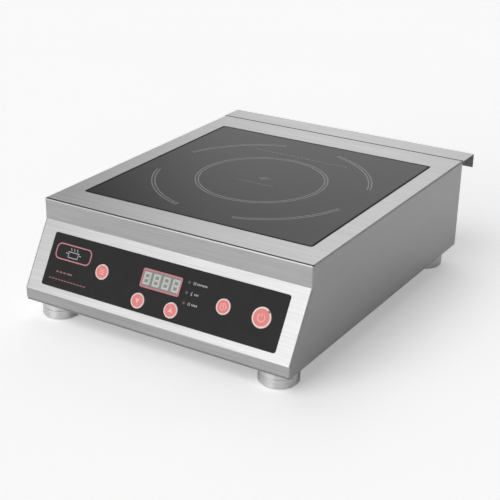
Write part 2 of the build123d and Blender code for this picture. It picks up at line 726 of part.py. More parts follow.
def foot_nuts():
    """Threaded inserts on the base plate that the feet screw into."""
    nuts = []
    for x, y in FEET.values():
        nut = hex_rod(x, y, (Z_FLOOR, Z_FLOOR + 10.0), 17.0)
        nuts.append(nut - rod(x, y, (Z_FLOOR - 1, Z_FLOOR + 11), STUD_R + 0.08))
    return group(nuts)


def foot_cup(x, y):
    """Turning part of a foot: steel cup and stud."""
    cup = rod(x, y, (CUP_BOTTOM, CUP_TOP), FOOT_R)
    cup = chamfer(cup.edges().group_by(Axis.Z)[0], 1.2)
    cup -= rod(x, y, (CUP_BOTTOM - 1, SOLE_TOP), SOLE_R + 0.3)
    cup -= rod(x, y, (SOLE_TOP - 1, SOLE_TOP + 4.5), 4.3)
    return cup + rod(x, y, (CUP_TOP, STUD_TOP), STUD_R)


def foot_sole(x, y):
    """Rubber sole with the hub that the cup turns on."""
    sole = rod(x, y, (0, SOLE_TOP), SOLE_R)
    sole = chamfer(sole.edges().group_by(Axis.Z)[0], 0.4)
    return sole + rod(x, y, (SOLE_TOP, SOLE_TOP + 4.0), 4.0)


# ---------------------------------------------------------------- cable gland
def gland_body():
    """Gland body: hexagon outside the panel, thread through it."""
    hexagon = extrude(RegularPolygon(24.0 / math.sqrt(3), 6), HEX_Y[1] - HEX_Y[0])
    body = Pos(GLAND_X, HEX_Y[0], GLAND_Z) * Rot(-90, 0, 0) * hexagon
    body += rod_y(GLAND_X, GLAND_Z, (Y_REAR - 12.0, HEX_Y[0]), 9.95)
    body += rod_y(GLAND_X, GLAND_Z, (HEX_Y[1], NECK_END), 10.0)
    return body - rod_y(GLAND_X, GLAND_Z, (Y_REAR - 13.0, NECK_END + 1), 7.0)


def gland_cap():
    """Clamping nut, with grip flats, that squeezes the seal."""
    y0 = HEX_Y[1] + 0.3
    hexagon = extrude(RegularPolygon(26.0 / math.sqrt(3), 6), CAP_END - y0)
    cap = Pos(GLAND_X, y0, GLAND_Z) * Rot(-90, 0, 0) * hexagon
    cap = cap & chamfer(rod_y(GLAND_X, GLAND_Z, (y0, CAP_END), 14.2).edges().group_by(Axis.Y)[-1], 2.5)
    cap -= rod_y(GLAND_X, GLAND_Z, (y0 - 1, NECK_END + 0.2), 10.05)
    cap -= rod_y(GLAND_X, GLAND_Z, (NECK_END, SEAL_END), 7.05)
    return cap - rod_y(GLAND_X, GLAND_Z, (SEAL_END - 1, CAP_END + 1), 5.6)


def gland_seal():
    """Rubber seal, whose bore holds the mains cable."""
    seal = rod_y(GLAND_X, GLAND_Z, (HEX_Y[0] + 2.0, SEAL_END), 7.0)
    return seal - rod_y(GLAND_X, GLAND_Z, (HEX_Y[0], SEAL_END + 1), CABLE_R)


def gland_locknut():
    """Nut behind the rear panel."""
    hexagon = extrude(RegularPolygon(25.0 / math.sqrt(3), 6), 5.0)
    nut = Pos(GLAND_X, Y_REAR - 5.0, GLAND_Z) * Rot(-90, 0, 0) * hexagon
    return nut - rod_y(GLAND_X, GLAND_Z, (Y_REAR - 6.0, Y_REAR + 1), 10.0)


# ---------------------------------------------------------------- wiring
def coil_leads():
    """Two sleeved leads from the coil's ends down to the power board."""
    leads = []
    for (hx, hy), (tx, ty) in zip(lead_holes(), ((-78.0, 84.0), (-62.0, 96.0))):
        cx, cy = hx, hy + GLASS_Y
        level = 92.0 if hx < 50 else 98.0
        route = [(cx, cy, Z_COIL), (cx, cy, level), (tx, ty, level), (tx, ty, Z_PARTS)]
        leads.append(cable(route, 9.0, LEAD_R))
    return group(leads)


def fan_leads():
    """A lead from each fan to the power board."""
    leads = []
    y0 = FAN_Y + FAN / 2
    for x in (-FAN_LEAD_X, FAN_LEAD_X):
        route = [(x, y0, 38.0), (x, y0 + 10.0, 38.0), (x, y0 + 19.0, 44.0), (x, y0 + 26.0, 44.0)]
        route.append((x, y0 + 26.0, Z_PARTS))
        leads.append(cable(route, 3.0, FAN_LEAD_R))
    return group(leads)


def control_ribbon():
    """Flat cable from the control board, over the fan hood, to the power board."""
    start = (PANEL * Pos(0, -RIBBON_DOWN, CONTROL_BOARD_N - BOARD_T)).position
    out = (PANEL * Pos(0, -RIBBON_DOWN, CONTROL_BOARD_N - BOARD_T - 6.0)).position
    route = [(start.Y, start.Z), (out.Y, out.Z), (HOOD_Y[0] - 4.0, HOOD_TOP), (HOOD_Y[0] + 3.0, 95.0)]
    route += [(RIBBON_END_Y - 8.0, 95.0), (RIBBON_END_Y, 88.0), (RIBBON_END_Y, Z_PARTS)]
    path = Plane.YZ * FilletPolyline(*route, radius=2.2)
    section = Plane(origin=path @ 0, x_dir=(1, 0, 0), z_dir=path % 0) * Rectangle(RIBBON_W, 0.9)
    return Pos(RIBBON_X, 0, 0) * sweep(section, path=path)


# ---------------------------------------------------------------- fasteners
def housing_screws():
    """M4 pan-head screws that hold the base, the fans, the rear and the coil plate."""
    from_below = BASE_SCREWS + POSTS
    for centre in FAN_CENTRES.values():
        from_below = from_below + fan_screw_places(*centre)
    places = [Pos(x, y, Z_BASE) * FROM_BELOW for x, y in from_below]
    places += [Pos(x, y, Z_FERRITE) for x, y in POSTS]
    places += [Pos(x, Y_SEAM, z) * FROM_REAR for x, z in REAR_SCREWS]
    places += [Pos(x, Y_SEAM + SHEET, z) * FROM_REAR for x, z in SPACER_SCREWS]
    return group([place * M4_SCREW for place in places])


def board_screws():
    """M3 screws of both circuit boards."""
    places = [Pos(x, y, Z_PARTS) for x, y in POWER_STANDOFFS]
    pieces = [place * M3_SCREW for place in places]
    back = CONTROL_BOARD_N - BOARD_T
    pieces += [on_panel(x, down, back, FROM_BELOW * M3_SCREW) for x, down in CONTROL_STANDOFFS]
    return group(pieces)


# ---------------------------------------------------------------- all nodes
NODES = {
    "top_shell": top_shell(),
    "base_plate": base_plate(),
    "rear_panel": rear_panel(),
    "rear_spacer": rear_spacer(),
    "glass_support_frame": glass_support_frame(),
    "ceramic_glass": ceramic_glass(),
    "glass_seal": glass_seal(),
    "induction_coil": induction_coil(),
    "coil_carrier": coil_carrier(),
    "ferrite_bars": ferrite_bars(),
    "coil_plate": coil_plate(),
    "coil_posts": coil_posts(),
    "mica_sheet": mica_sheet(),
    "thermistor_probe": thermistor_probe(),
    "power_board": power_board(),
    "board_standoffs": board_standoffs(),
    "heatsink": heatsink(),
    "igbt_transistors": igbt_transistors(),
    "bridge_rectifier": bridge_rectifier(),
    "smoothing_capacitor": smoothing_capacitor(),
    "resonant_capacitors": resonant_capacitors(),
    "line_choke": line_choke(),
    "supply_transformer": supply_transformer(),
    "reservoir_capacitors": reservoir_capacitors(),
    "terminal_block": terminal_block(),
    "fan_hood": fan_hood(),
    "control_overlay": control_overlay(),
    "display_bezel": display_bezel(),
    "display_module": display_module(),
    "indicator_lights": indicator_lights(),
    "control_board": control_board(),
    "tact_switches": tact_switches(),
    "foot_collars": foot_collars(),
    "foot_nuts": foot_nuts(),
    "gland_body": gland_body(),
    "gland_cap": gland_cap(),
    "gland_seal": gland_seal(),
    "gland_locknut": gland_locknut(),
    "coil_leads": coil_leads(),
    "fan_leads": fan_leads(),
    "control_ribbon": control_ribbon(),
    "housing_screws": housing_screws(),
    "board_screws": board_screws(),
}
for side, centre in FAN_CENTRES.items():
    NODES["fan_frame_" + side] = fan_frame(*centre)
    NODES["fan_rotor_" + side] = fan_rotor(*centre)
for name, place in KEYS.items():
    NODES[name] = key(*place)
for corner, place in FEET.items():
    NODES["foot_cup_" + corner] = foot_cup(*place)
    NODES["foot_sole_" + corner] = foot_sole(*place)

for name, shape in NODES.items():
    export_step(shape, "parts/" + name + ".step")
print(len(NODES), "nodes")
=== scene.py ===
"""Looks of the induction hob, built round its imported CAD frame. Metres, +Z up, the front faces -Y."""
import json
import math
import bmesh
import bpy
from mathutils import Matrix, Vector


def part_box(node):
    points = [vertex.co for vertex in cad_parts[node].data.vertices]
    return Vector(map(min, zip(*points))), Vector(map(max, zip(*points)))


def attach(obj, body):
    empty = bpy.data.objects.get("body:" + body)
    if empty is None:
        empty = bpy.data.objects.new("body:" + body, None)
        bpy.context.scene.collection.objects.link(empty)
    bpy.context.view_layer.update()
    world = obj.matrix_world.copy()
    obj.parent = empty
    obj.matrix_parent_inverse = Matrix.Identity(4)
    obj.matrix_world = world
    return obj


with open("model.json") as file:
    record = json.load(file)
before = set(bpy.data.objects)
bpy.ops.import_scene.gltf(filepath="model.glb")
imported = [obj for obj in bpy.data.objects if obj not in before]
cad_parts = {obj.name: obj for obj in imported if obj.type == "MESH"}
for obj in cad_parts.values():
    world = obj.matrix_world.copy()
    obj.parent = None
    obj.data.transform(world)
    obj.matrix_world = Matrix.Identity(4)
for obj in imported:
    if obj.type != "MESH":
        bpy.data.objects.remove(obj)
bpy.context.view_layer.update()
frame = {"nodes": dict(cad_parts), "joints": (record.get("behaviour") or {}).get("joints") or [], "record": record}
NODES = frame["nodes"]
MM = 0.001

# ---------------------------------------------------------------- camera
CAMERA_AT = Vector((0.6488, -1.0939, 0.5847))   # metres from the frame's origin
CAMERA_AZIMUTH = math.radians(33.50)
CAMERA_ELEVATION = math.radians(25.59)
LENS = 86.4                 # millimetres, on a sensor this wide
SENSOR = 36.0
SHIFT = (0.0905, 0.0984)    # sets the hob in the middle of the picture


def add_camera():
    """Camera to the front right of the hob and a little above it."""
    data = bpy.data.cameras.new("camera")
    data.lens = LENS
    data.sensor_width = SENSOR
    data.shift_x, data.shift_y = SHIFT
    camera = bpy.data.objects.new("camera", data)
    camera.location = CAMERA_AT
    camera.rotation_euler = (math.pi / 2 - CAMERA_ELEVATION, 0, CAMERA_AZIMUTH)
    bpy.context.scene.collection.objects.link(camera)
    bpy.context.scene.camera = camera


# ---------------------------------------------------------------- shader graphs
NOISE_RANGE = (0.3, 0.7)    # values that a noise seldom leaves
FEW, SOME, MANY = 2.0, 3.0, 4.0     # octaves in a noise


class Surface:
    """A material's node graph, round its Principled shader."""

    def __init__(self, name, **fixed):
        self.material = bpy.data.materials.new(name)
        self.material.use_nodes = True
        self.tree = self.material.node_tree
        self.shader = self.tree.nodes["Principled BSDF"]
        for socket, value in fixed.items():
            self.shader.inputs[socket.replace("_", " ")].default_value = value
        self.place = self.node("ShaderNodeTexCoord").outputs

    def node(self, kind, **settings):
        """New node of the graph, with its settings."""
        made = self.tree.nodes.new(kind)
        for name, value in settings.items():
            setattr(made, name, value)
        return made

    def feed(self, socket, value):
        """Give a socket either another node's output or a number."""
        if isinstance(value, bpy.types.NodeSocket):
            self.tree.links.new(value, socket)
        else:
            socket.default_value = value

    def drive(self, name, value):
        """Give one of the shader's own sockets its input."""
        self.feed(self.shader.inputs[name], value)

    def math(self, operation, *values):
        made = self.node("ShaderNodeMath", operation=operation)
        for socket, value in zip(made.inputs, values):
            self.feed(socket, value)
        return made.outputs[0]

    def vector(self, operation, *values):
        made = self.node("ShaderNodeVectorMath", operation=operation)
        for socket, value in zip(made.inputs, values):
            self.feed(socket, value)
        single = operation in ("LENGTH", "DOT_PRODUCT")
        return made.outputs["Value" if single else "Vector"]

    def parts(self, vector):
        made = self.node("ShaderNodeSeparateXYZ")
        self.feed(made.inputs[0], vector)
        return made.outputs

    def join(self, x, y, z):
        made = self.node("ShaderNodeCombineXYZ")
        for socket, value in zip(made.inputs, (x, y, z)):
            self.feed(socket, value)
        return made.outputs[0]

    def noise(self, vector, scale=1.0, detail=FEW, rough=0.5):
        made = self.node("ShaderNodeTexNoise")
        for name, value in (("Vector", vector), ("Scale", scale), ("Detail", detail), ("Roughness", rough)):
            self.feed(made.inputs[name], value)
        return made.outputs["Fac"]

    def stretched(self, scales, detail):
        """Noise whose cells are long along the axes that have the small scales."""
        return self.noise(self.vector("MULTIPLY", self.place["Object"], scales), 1.0, detail)

    def ramp(self, factor, low, high, start=0.0, end=1.0):
        """Turn a factor between start and end into a number between low and high."""
        made = self.node("ShaderNodeMapRange")
        for socket, value in zip(made.inputs, (factor, start, end, low, high)):
            self.feed(socket, value)
        return made.outputs[0]

    def spread(self, noise, low, high):
        """Turn a noise, which mostly keeps to its middle, into a number between low and high."""
        return self.ramp(noise, low, high, *NOISE_RANGE)

    def mix(self, factor, first, second):
        """Blend of two colours."""
        made = self.node("ShaderNodeMix", data_type="RGBA")
        for name, value in (("Factor", factor), ("A", first), ("B", second)):
            socket = [s for s in made.inputs if s.name == name and s.enabled][0]
            self.feed(socket, value)
        return [s for s in made.outputs if s.enabled][0]

    def bump(self, height, strength, distance):
        made = self.node("ShaderNodeBump")
        for name, value in (("Height", height), ("Strength", strength), ("Distance", distance)):
            self.feed(made.inputs[name], value)
        self.drive("Normal", made.outputs[0])


def rgb(r, g, b):
    return (r, g, b, 1.0)


def grey(value):
    return (value, value, value, 1.0)


# ---------------------------------------------------------------- materials
TEXTURE_DEPTH = 0.1 * MM    # height of the finest texture on metal and mouldings
ROLLED_BUMP = 0.08          # how strongly that texture shows on rolled metal
TURNED_BUMP = 0.10          # on turned metal
MOULDED_BUMP = 0.15         # and on mouldings
SATIN = (0.45, 0.6)         # roughness, smoothest and roughest
HALF_GLOSS = (0.35, 0.5)
DULL = (0.6, 0.75)
GRAIN_LONG = 9.0            # brush marks per metre along the grain
GRAIN_FINE = 1400.0         # and across it
GRAIN_ROUGH = 0.6           # weight of the finest detail in the marks
BAND_LONG = 1.5             # broader bands of the brushing, against the marks: shorter
BAND_FINE = 0.5             # and wider
BAND_SHARE = 0.6            # how much of the tone is in the bands
SIDE_DEPTH = 0.35           # contrast of the grain on the sides, against the rest
SIDE_FACING = 0.7           # a face turned further than this to the left or right is a side
FINE_SHARE = 0.5            # share of the grain in the roughness; the rest is a soft cloud
SHEET_CLOUD = 9.0           # cells of that cloud per metre
FOLD_SHADE_FORWARD = -0.08             # a bend turned further than this to the front gets the painted dark line along the front fold
FOLD_SHADE_BEGINS = (0.998, 0.98)    # upward part of the normal over which the painted dark line sets in
FOLD_SHADE_ENDS = (0.55, 0.72)       # and below which it has gone
FOLD_SHADE_COLOUR = grey(0.035)       # colour of the painted dark line: painted shade standing in for the dark reflection on the fold


def brushed_sheet(name, low, high, rough):
    """Brushed stainless sheet: grain across the width, and from front to rear on the sides, with a painted dark
    line on the front fold.
    """
    s = Surface(name, Metallic=1.0, Anisotropic=0.75, Anisotropic_Rotation=0.25)
    x, y, z = s.parts(s.place["Object"])
    out_x, out_y, out_z = s.parts(s.place["Normal"])
    side = s.math("GREATER_THAN", s.math("ABSOLUTE", out_x), SIDE_FACING)
    face = s.math("SUBTRACT", 1.0, side)
    along = s.math("ADD", s.math("MULTIPLY", x, face), s.math("MULTIPLY", y, side))
    across = s.math("ADD", s.math("MULTIPLY", y, face), s.math("MULTIPLY", x, side))

    def marks(length, fineness, detail):
        """Noise drawn out along the grain."""
        stretched = (s.math("MULTIPLY", value, scale)
                     for value, scale in ((along, length), (across, fineness), (z, fineness)))
        return s.noise(s.join(*stretched), 1.0, detail, GRAIN_ROUGH)

    fine = marks(GRAIN_LONG, GRAIN_FINE, SOME)
    bands = marks(GRAIN_LONG * BAND_LONG, GRAIN_FINE * BAND_FINE, MANY)
    cloud = s.noise(s.place["Object"], SHEET_CLOUD, SOME)
    tone = s.math("ADD", s.math("MULTIPLY", fine, 1 - BAND_SHARE), s.math("MULTIPLY", bands, BAND_SHARE))
    depth = s.ramp(side, 1.0, SIDE_DEPTH)
    tone = s.math("MULTIPLY_ADD", s.math("SUBTRACT", tone, 0.5), depth, 0.5)
    sheet = s.mix(s.spread(tone, 0.0, 1.0), low, high)
    # Painted shade: a dark line is painted where the top turns down to the front, standing in for the dark
    # reflection on that fold.
    fold_shade_begun = s.ramp(out_z, 0.0, 1.0, *FOLD_SHADE_BEGINS)
    fold_shade_ended = s.ramp(out_z, 0.0, 1.0, *FOLD_SHADE_ENDS)
    fold_faces_front = s.math("LESS_THAN", out_y, FOLD_SHADE_FORWARD)
    painted_fold_shade = s.math("MULTIPLY", s.math("MULTIPLY", fold_shade_begun, fold_shade_ended), fold_faces_front)
    s.drive("Base Color", s.mix(painted_fold_shade, sheet, FOLD_SHADE_COLOUR))
    worn = s.math("ADD", s.math("MULTIPLY", fine, FINE_SHARE), s.math("MULTIPLY", cloud, 1 - FINE_SHARE))
    s.drive("Roughness", s.spread(worn, *rough))
    s.drive("Tangent", s.join(face, side, 0.0))
    s.bump(fine, ROLLED_BUMP, TEXTURE_DEPTH)
    return s.material


TURNED_SCALES = (12.0, 12.0, 2600.0)    # turning marks: fine up the axis, long round it
OFF_AXIS = (0.001, 0.0, 0.0)            # keeps the tangent from vanishing on a flat end


def turned_steel(name, low, high, rough):
    """Bright steel turned on a lathe: fine rings round an upright axis draw highlights out upright."""
    s = Surface(name, Metallic=1.0, Anisotropic=0.85, Anisotropic_Rotation=0.25)
    rings = s.stretched(TURNED_SCALES, FEW)
    s.drive("Base Color", s.mix(rings, low, high))
    s.drive("Roughness", s.spread(rings, *rough))
    around = s.vector("CROSS_PRODUCT", (0.0, 0.0, 1.0), s.place["Normal"])
    s.drive("Tangent", s.vector("ADD", around, OFF_AXIS))
    s.bump(rings, TURNED_BUMP, TEXTURE_DEPTH)
    return s.material


MOULDED_CLOUD = 60.0        # texture cells per metre: slow change of a moulding's colour
MOULDED_GRAIN = 1200.0      # and its fine texture
MILL_CELLS = (300.0, 300.0, 300.0)      # mill texture along each axis


def moulded(name, low, high, rough=SATIN, grain=MOULDED_GRAIN, depth=TEXTURE_DEPTH, **fixed):
    """Moulded plastic or rubber, with its fine texture."""
    s = Surface(name, **fixed)
    cloud = s.noise(s.place["Object"], MOULDED_CLOUD, SOME)
    grains = s.noise(s.place["Object"], grain, FEW)
    s.drive("Base Color", s.mix(cloud, low, high))
    s.drive("Roughness", s.spread(grains, *rough))
    s.bump(grains, MOULDED_BUMP, depth)
    return s.material


def metal(name, low, high, rough=(0.25, 0.4), scales=MILL_CELLS):
    """Plain metal with a slight mill texture."""
    s = Surface(name, Metallic=1.0)
    mill = s.stretched(scales, SOME)
    s.drive("Base Color", s.mix(mill, low, high))
    s.drive("Roughness", s.spread(mill, *rough))
    s.bump(mill, ROLLED_BUMP, TEXTURE_DEPTH)
    return s.material


GLASS_IOR = 1.54            # refractive index
GLASS_SPECKLE = 1500.0      # texture cells per metre: speckle of the tint
GLASS_HAZE = 7.0            # and wiped haze


def black_glass(name):
    """Glass-ceramic: deep black body, with the faint speckle of its tint and a wiped haze on its gloss."""
    s = Surface(name, IOR=GLASS_IOR)
    speckle = s.noise(s.place["Object"], GLASS_SPECKLE, FEW)
    haze = s.noise(s.place["Object"], GLASS_HAZE, MANY)
    s.drive("Base Color", s.mix(speckle, rgb(0.010, 0.010, 0.011), rgb(0.016, 0.016, 0.017)))
    s.drive("Roughness", s.spread(haze, 0.05, 0.12))
    return s.material


KEY_LINE_AT = 0.78          # where a key's dark line begins, as a share of its radius
KEY_RIM_AT = 0.825          # and where its pale rim does
KEY_SPECKLE = 900.0         # texture cells per metre


def key_colours(name, centre, axis, radius):
    """Pink key: salmon middle, thin darker line, and a pale rim that runs over the rounded edge."""
    s = Surface(name, Coat_Weight=0.3, Coat_Roughness=0.2)
    away = s.vector("SUBTRACT", s.place["Object"], centre)
    along = s.vector("DOT_PRODUCT", away, axis)
    sunk = s.vector("MULTIPLY", s.join(along, along, along), axis)
    reach = s.vector("LENGTH", s.vector("SUBTRACT", away, sunk))
    speckle = s.noise(s.place["Object"], KEY_SPECKLE, FEW)
    salmon = s.mix(speckle, rgb(0.79, 0.168, 0.162), rgb(0.87, 0.212, 0.20))
    line = s.math("GREATER_THAN", reach, radius * KEY_LINE_AT)
    rim = s.math("GREATER_THAN", reach, radius * KEY_RIM_AT)
    colour = s.mix(line, salmon, rgb(0.62, 0.17, 0.17))
    s.drive("Base Color", s.mix(rim, colour, rgb(0.84, 0.70, 0.66)))
    s.drive("Roughness", s.spread(speckle, 0.32, 0.42))
    return s.material


FLOOR_CLOUD = 1.5           # texture cells per metre
FLOOR_LIFT = 0.33           # extra white of the floor, for the camera alone


def floor_surface():
    """Pale matt studio floor, lifted a little towards white where the camera sees it directly."""
    s = Surface("studio_floor", Roughness=0.9)
    cloud = s.noise(s.place["Object"], FLOOR_CLOUD, FEW)
    s.drive("Base Color", s.mix(cloud, grey(0.92), grey(0.95)))
    s.drive("Emission Color", grey(1.0))
    seen = s.node("ShaderNodeLightPath").outputs["Is Camera Ray"]
    s.drive("Emission Strength", s.math("MULTIPLY", seen, FLOOR_LIFT))
    return s.material


# Plain metals: darkest and lightest colour, roughness, texture cells per metre along each axis.
METALS = {
    "base_steel": (grey(0.42), grey(0.52), HALF_GLOSS, (90.0, 90.0, 90.0)),
    "litz_copper": (rgb(0.42, 0.16, 0.07), rgb(0.62, 0.27, 0.12), (0.3, 0.45), (1500.0, 1500.0, 1500.0)),
    "aluminium_sheet": (grey(0.62), grey(0.72), (0.3, 0.42), (40.0, 900.0, 900.0)),
    "zinc_steel": (rgb(0.55, 0.56, 0.57), rgb(0.68, 0.68, 0.66), (0.22, 0.36)),
    "brass_standoff": (rgb(0.58, 0.40, 0.14), rgb(0.70, 0.50, 0.20)),
    "aluminium_heatsink": (grey(0.55), grey(0.66), HALF_GLOSS, (900.0, 30.0, 900.0)),
}

# Mouldings, sleeves and boards: darkest and lightest colour, roughness, texture cells per metre.
MOULDINGS = {
    "carrier_plastic": (rgb(0.05, 0.045, 0.04), rgb(0.07, 0.06, 0.055)),
    "ferrite": (grey(0.035), grey(0.06), (0.55, 0.75), 2500.0),
    "mica": (rgb(0.42, 0.33, 0.19), rgb(0.55, 0.45, 0.29), (0.4, 0.6), 500.0),
    "white_silicone": (rgb(0.60, 0.58, 0.54), rgb(0.72, 0.70, 0.66)),
    "circuit_board": (rgb(0.008, 0.10, 0.035), rgb(0.014, 0.14, 0.05), (0.25, 0.4), 600.0),
    "device_black": (grey(0.012), grey(0.02), (0.5, 0.65), 2500.0),
    "capacitor_box": (rgb(0.50, 0.30, 0.03), rgb(0.60, 0.38, 0.05), (0.3, 0.45)),
    "transformer_tape": (rgb(0.60, 0.42, 0.06), rgb(0.70, 0.52, 0.10), (0.3, 0.45)),
    "capacitor_sleeve": (rgb(0.010, 0.014, 0.05), rgb(0.016, 0.022, 0.07), (0.2, 0.35)),
    "terminal_plastic": (rgb(0.02, 0.12, 0.05), rgb(0.03, 0.16, 0.07)),
    "black_moulding": (grey(0.010), grey(0.018), (0.4, 0.55)),
    "display_pink": (rgb(0.56, 0.17, 0.20), rgb(0.64, 0.21, 0.24), (0.3, 0.42)),
    "display_face": (rgb(0.25, 0.255, 0.245), rgb(0.30, 0.305, 0.29), (0.3, 0.4)),
    "lamp_lens": (rgb(0.06, 0.05, 0.05), rgb(0.09, 0.075, 0.075), (0.2, 0.3)),
    "rubber_sole": (grey(0.012), grey(0.02), (0.6, 0.8)),
    "gland_black": (grey(0.012), grey(0.022), HALF_GLOSS),
    "red_sleeve": (rgb(0.35, 0.03, 0.02), rgb(0.45, 0.05, 0.03), (0.6, 0.8), 3000.0),
    "black_sleeve": (grey(0.012), grey(0.02), HALF_GLOSS),
    "grey_ribbon": (grey(0.28), grey(0.36), (0.4, 0.55)),
}


def make_materials():
    """One material for each slot of the record, but for the keys' pink."""
    made = {name: metal(name, *look) for name, look in METALS.items()}
    made.update({name: moulded(name, *look) for name, look in MOULDINGS.items()})
    made["brushed_stainless"] = brushed_sheet("brushed_stainless", grey(0.42), grey(0.57), (0.30, 0.42))
    made["polished_steel"] = turned_steel("polished_steel", grey(0.78), grey(0.96), (0.24, 0.34))
    made["black_glass"] = black_glass("black_glass")
    made["black_silicone"] = moulded("black_silicone", grey(0.008), grey(0.012), DULL,
                                     Specular_IOR_Level=0.12)
    made["overlay_black"] = moulded("overlay_black", rgb(0.015, 0.014, 0.015), rgb(0.024, 0.022, 0.024),
                                    (0.34, 0.46), 700.0, Specular_IOR_Level=0.15)
    return made


def dress_nodes(materials):
    """Every CAD node takes the material of its slot; each key has one of its own, centred on it."""
    slots = {row["node"]: row["material_slot"] for row in frame["record"]["subparts"]}
    for name, node in NODES.items():
        if slots[name] == "key_pink":
            material = key_colours(name + "_pink", key_axis_point(name), PANEL_NORMAL, key_radius(name))
        else:
            material = materials[slots[name]]
        node.data.materials.clear()
        node.data.materials.append(material)


# ---------------------------------------------------------------- places taken from the frame
ACROSS = Vector((1, 0, 0))
PANEL_NORMAL = -Vector([j["axis"] for j in frame["joints"] if j["child"] == "power_key"][0]).normalized()
PANEL_UP = PANEL_NORMAL.cross(ACROSS)


def span(name, axis):
    """Lowest and highest reach of a node along a direction."""
    reach = [vertex.co.dot(axis) for vertex in NODES[name].data.vertices]
    return min(reach), max(reach)


def centre_along(name, axis):
    """Middle of a node along a direction."""
    low, high = span(name, axis)
    return (low + high) / 2


def panel_place(x, up, out):
    """Matrix that lays a flat drawing parallel to the panel."""
    turn = Matrix((ACROSS, PANEL_UP, PANEL_NORMAL)).transposed().to_4x4()
    turn.translation = ACROSS * x + PANEL_UP * up + PANEL_NORMAL * out
    return turn


def key_axis_point(name):
    """A point on the line through a key's middle, along its travel."""
    return ACROSS * centre_along(name, ACROSS) + PANEL_UP * centre_along(name, PANEL_UP)


KEY_FLANGE = 1.5 * MM       # how far a key's hidden flange stands out round its cap


def key_radius(name):
    """Radius of a key's cap."""
    low, high = span(name, ACROSS)
    return (high - low) / 2 - KEY_FLANGE


# ---------------------------------------------------------------- flat drawings
PRINT_T = 0.04 * MM
ARC_STEP = 4                # degrees between the points of an arc
ARC_STEPS = 8               # and the fewest steps of any arc
CORNER_STEPS = 6            # stretches of a rounded corner
MITRE_LIMIT = 0.4           # least cosine of half a turn that a mitre still follows
MERGE = 1e-7                # metres: closer points are one


class Drawing:
    """Flat shapes in millimetres, made into one thin printed piece."""

    def __init__(self):
        self.strips = []
        self.fills = []

    def strip(self, left, right, closed=False):
        """Band between two rows of points."""
        self.strips.append((left, right, closed))

    def fill(self, points):
        """Filled outline, one face."""
        self.fills.append(points)

    def row(self, count, x, pitch, y, width, height):
        """Bars of one size, side by side from x on."""
        for k in range(count):
            self.bar(x + k * pitch, y, width, height)

    def bar(self, x, y, width, height):
        """Upright rectangle about its middle."""
        w, h = width / 2, height / 2
        self.strip([(x - w, y - h), (x - w, y + h)], [(x + w, y - h), (x + w, y + h)])

    def stroke(self, points, width, closed=False):
        """Line of even width through the points, mitred at its corners."""
        left, right = [], []
        count = len(points)
        for k, (x, y) in enumerate(points):
            before = points[k - 1] if k or closed else points[k]
            after = points[(k + 1) % count] if k + 1 < count or closed else points[k]
            ahead = Vector((after[0] - x, after[1] - y))
            back = Vector((x - before[0], y - before[1]))
            one = (ahead if ahead.length else back).normalized()
            other = (back if back.length else ahead).normalized()
            normal = Vector((-(one.y + other.y), one.x + other.x)).normalized()
            reach = width / 2 / max(MITRE_LIMIT, normal.dot(Vector((-one.y, one.x))))
            left.append((x + normal.x * reach, y + normal.y * reach))
            right.append((x - normal.x * reach, y - normal.y * reach))
        self.strip(left, right, closed)

    def arc(self, x, y, radius, width, start=0.0, end=360.0):
        """Ring, or part of one, between two angles in degrees."""
        steps = max(ARC_STEPS, int(abs(end - start) / ARC_STEP))
        whole = abs(end - start) >= 360
        count = steps if whole else steps + 1
        turns = [math.radians(start + (end - start) * k / steps) for k in range(count)]
        rows = [[(x + r * math.cos(t), y + r * math.sin(t)) for t in turns]
                for r in (radius - width / 2, radius + width / 2)]
        self.strip(rows[0], rows[1], whole)

    def rounded(self, x, y, width, height, corner, line=None):
        """Outline of a rounded rectangle, or the whole of it where no line width is given."""
        points = []
        for quarter, (sx, sy) in enumerate(((1, 1), (-1, 1), (-1, -1), (1, -1))):
            cx, cy = x + sx * (width / 2 - corner), y + sy * (height / 2 - corner)
            for k in range(CORNER_STEPS + 1):
                turn = math.radians(90 * (quarter + k / CORNER_STEPS))
                points.append((cx + corner * math.cos(turn), cy + corner * math.sin(turn)))
        if line is None:
            self.fill(points)
        else:
            self.stroke(points, line, True)

    def piece(self, name, place, surface, body, thickness=PRINT_T):
        """Build the thin piece, lay it in place and let it ride on a body."""
        mesh = bmesh.new()
        for points in self.fills:
            mesh.faces.new([mesh.verts.new((x * MM, y * MM, 0)) for x, y in points])
        for left, right, closed in self.strips:
            rows = [[mesh.verts.new((x * MM, y * MM, 0)) for x, y in row] for row in (left, right)]
            count = len(left)
            for k in range(count if closed else count - 1):
                after = (k + 1) % count
                mesh.faces.new((rows[0][k], rows[0][after], rows[1][after], rows[1][k]))
        bmesh.ops.remove_doubles(mesh, verts=mesh.verts, dist=MERGE)
        bmesh.ops.recalc_face_normals(mesh, faces=mesh.faces)
        for face in mesh.faces:
            face.normal_update()
            if face.normal.z < 0:
                face.normal_flip()
        top = bmesh.ops.extrude_face_region(mesh, geom=mesh.faces[:])
        raised = [item for item in top["geom"] if isinstance(item, bmesh.types.BMVert)]
        bmesh.ops.translate(mesh, verts=raised, vec=(0, 0, thickness))
        bmesh.ops.recalc_face_normals(mesh, faces=mesh.faces)
        data = bpy.data.meshes.new(name)
        mesh.to_mesh(data)
        mesh.free()
        made = bpy.data.objects.new(name, data)
        data.materials.append(surface)
        made.matrix_world = place
        bpy.context.scene.collection.objects.link(made)
        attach(made, body)


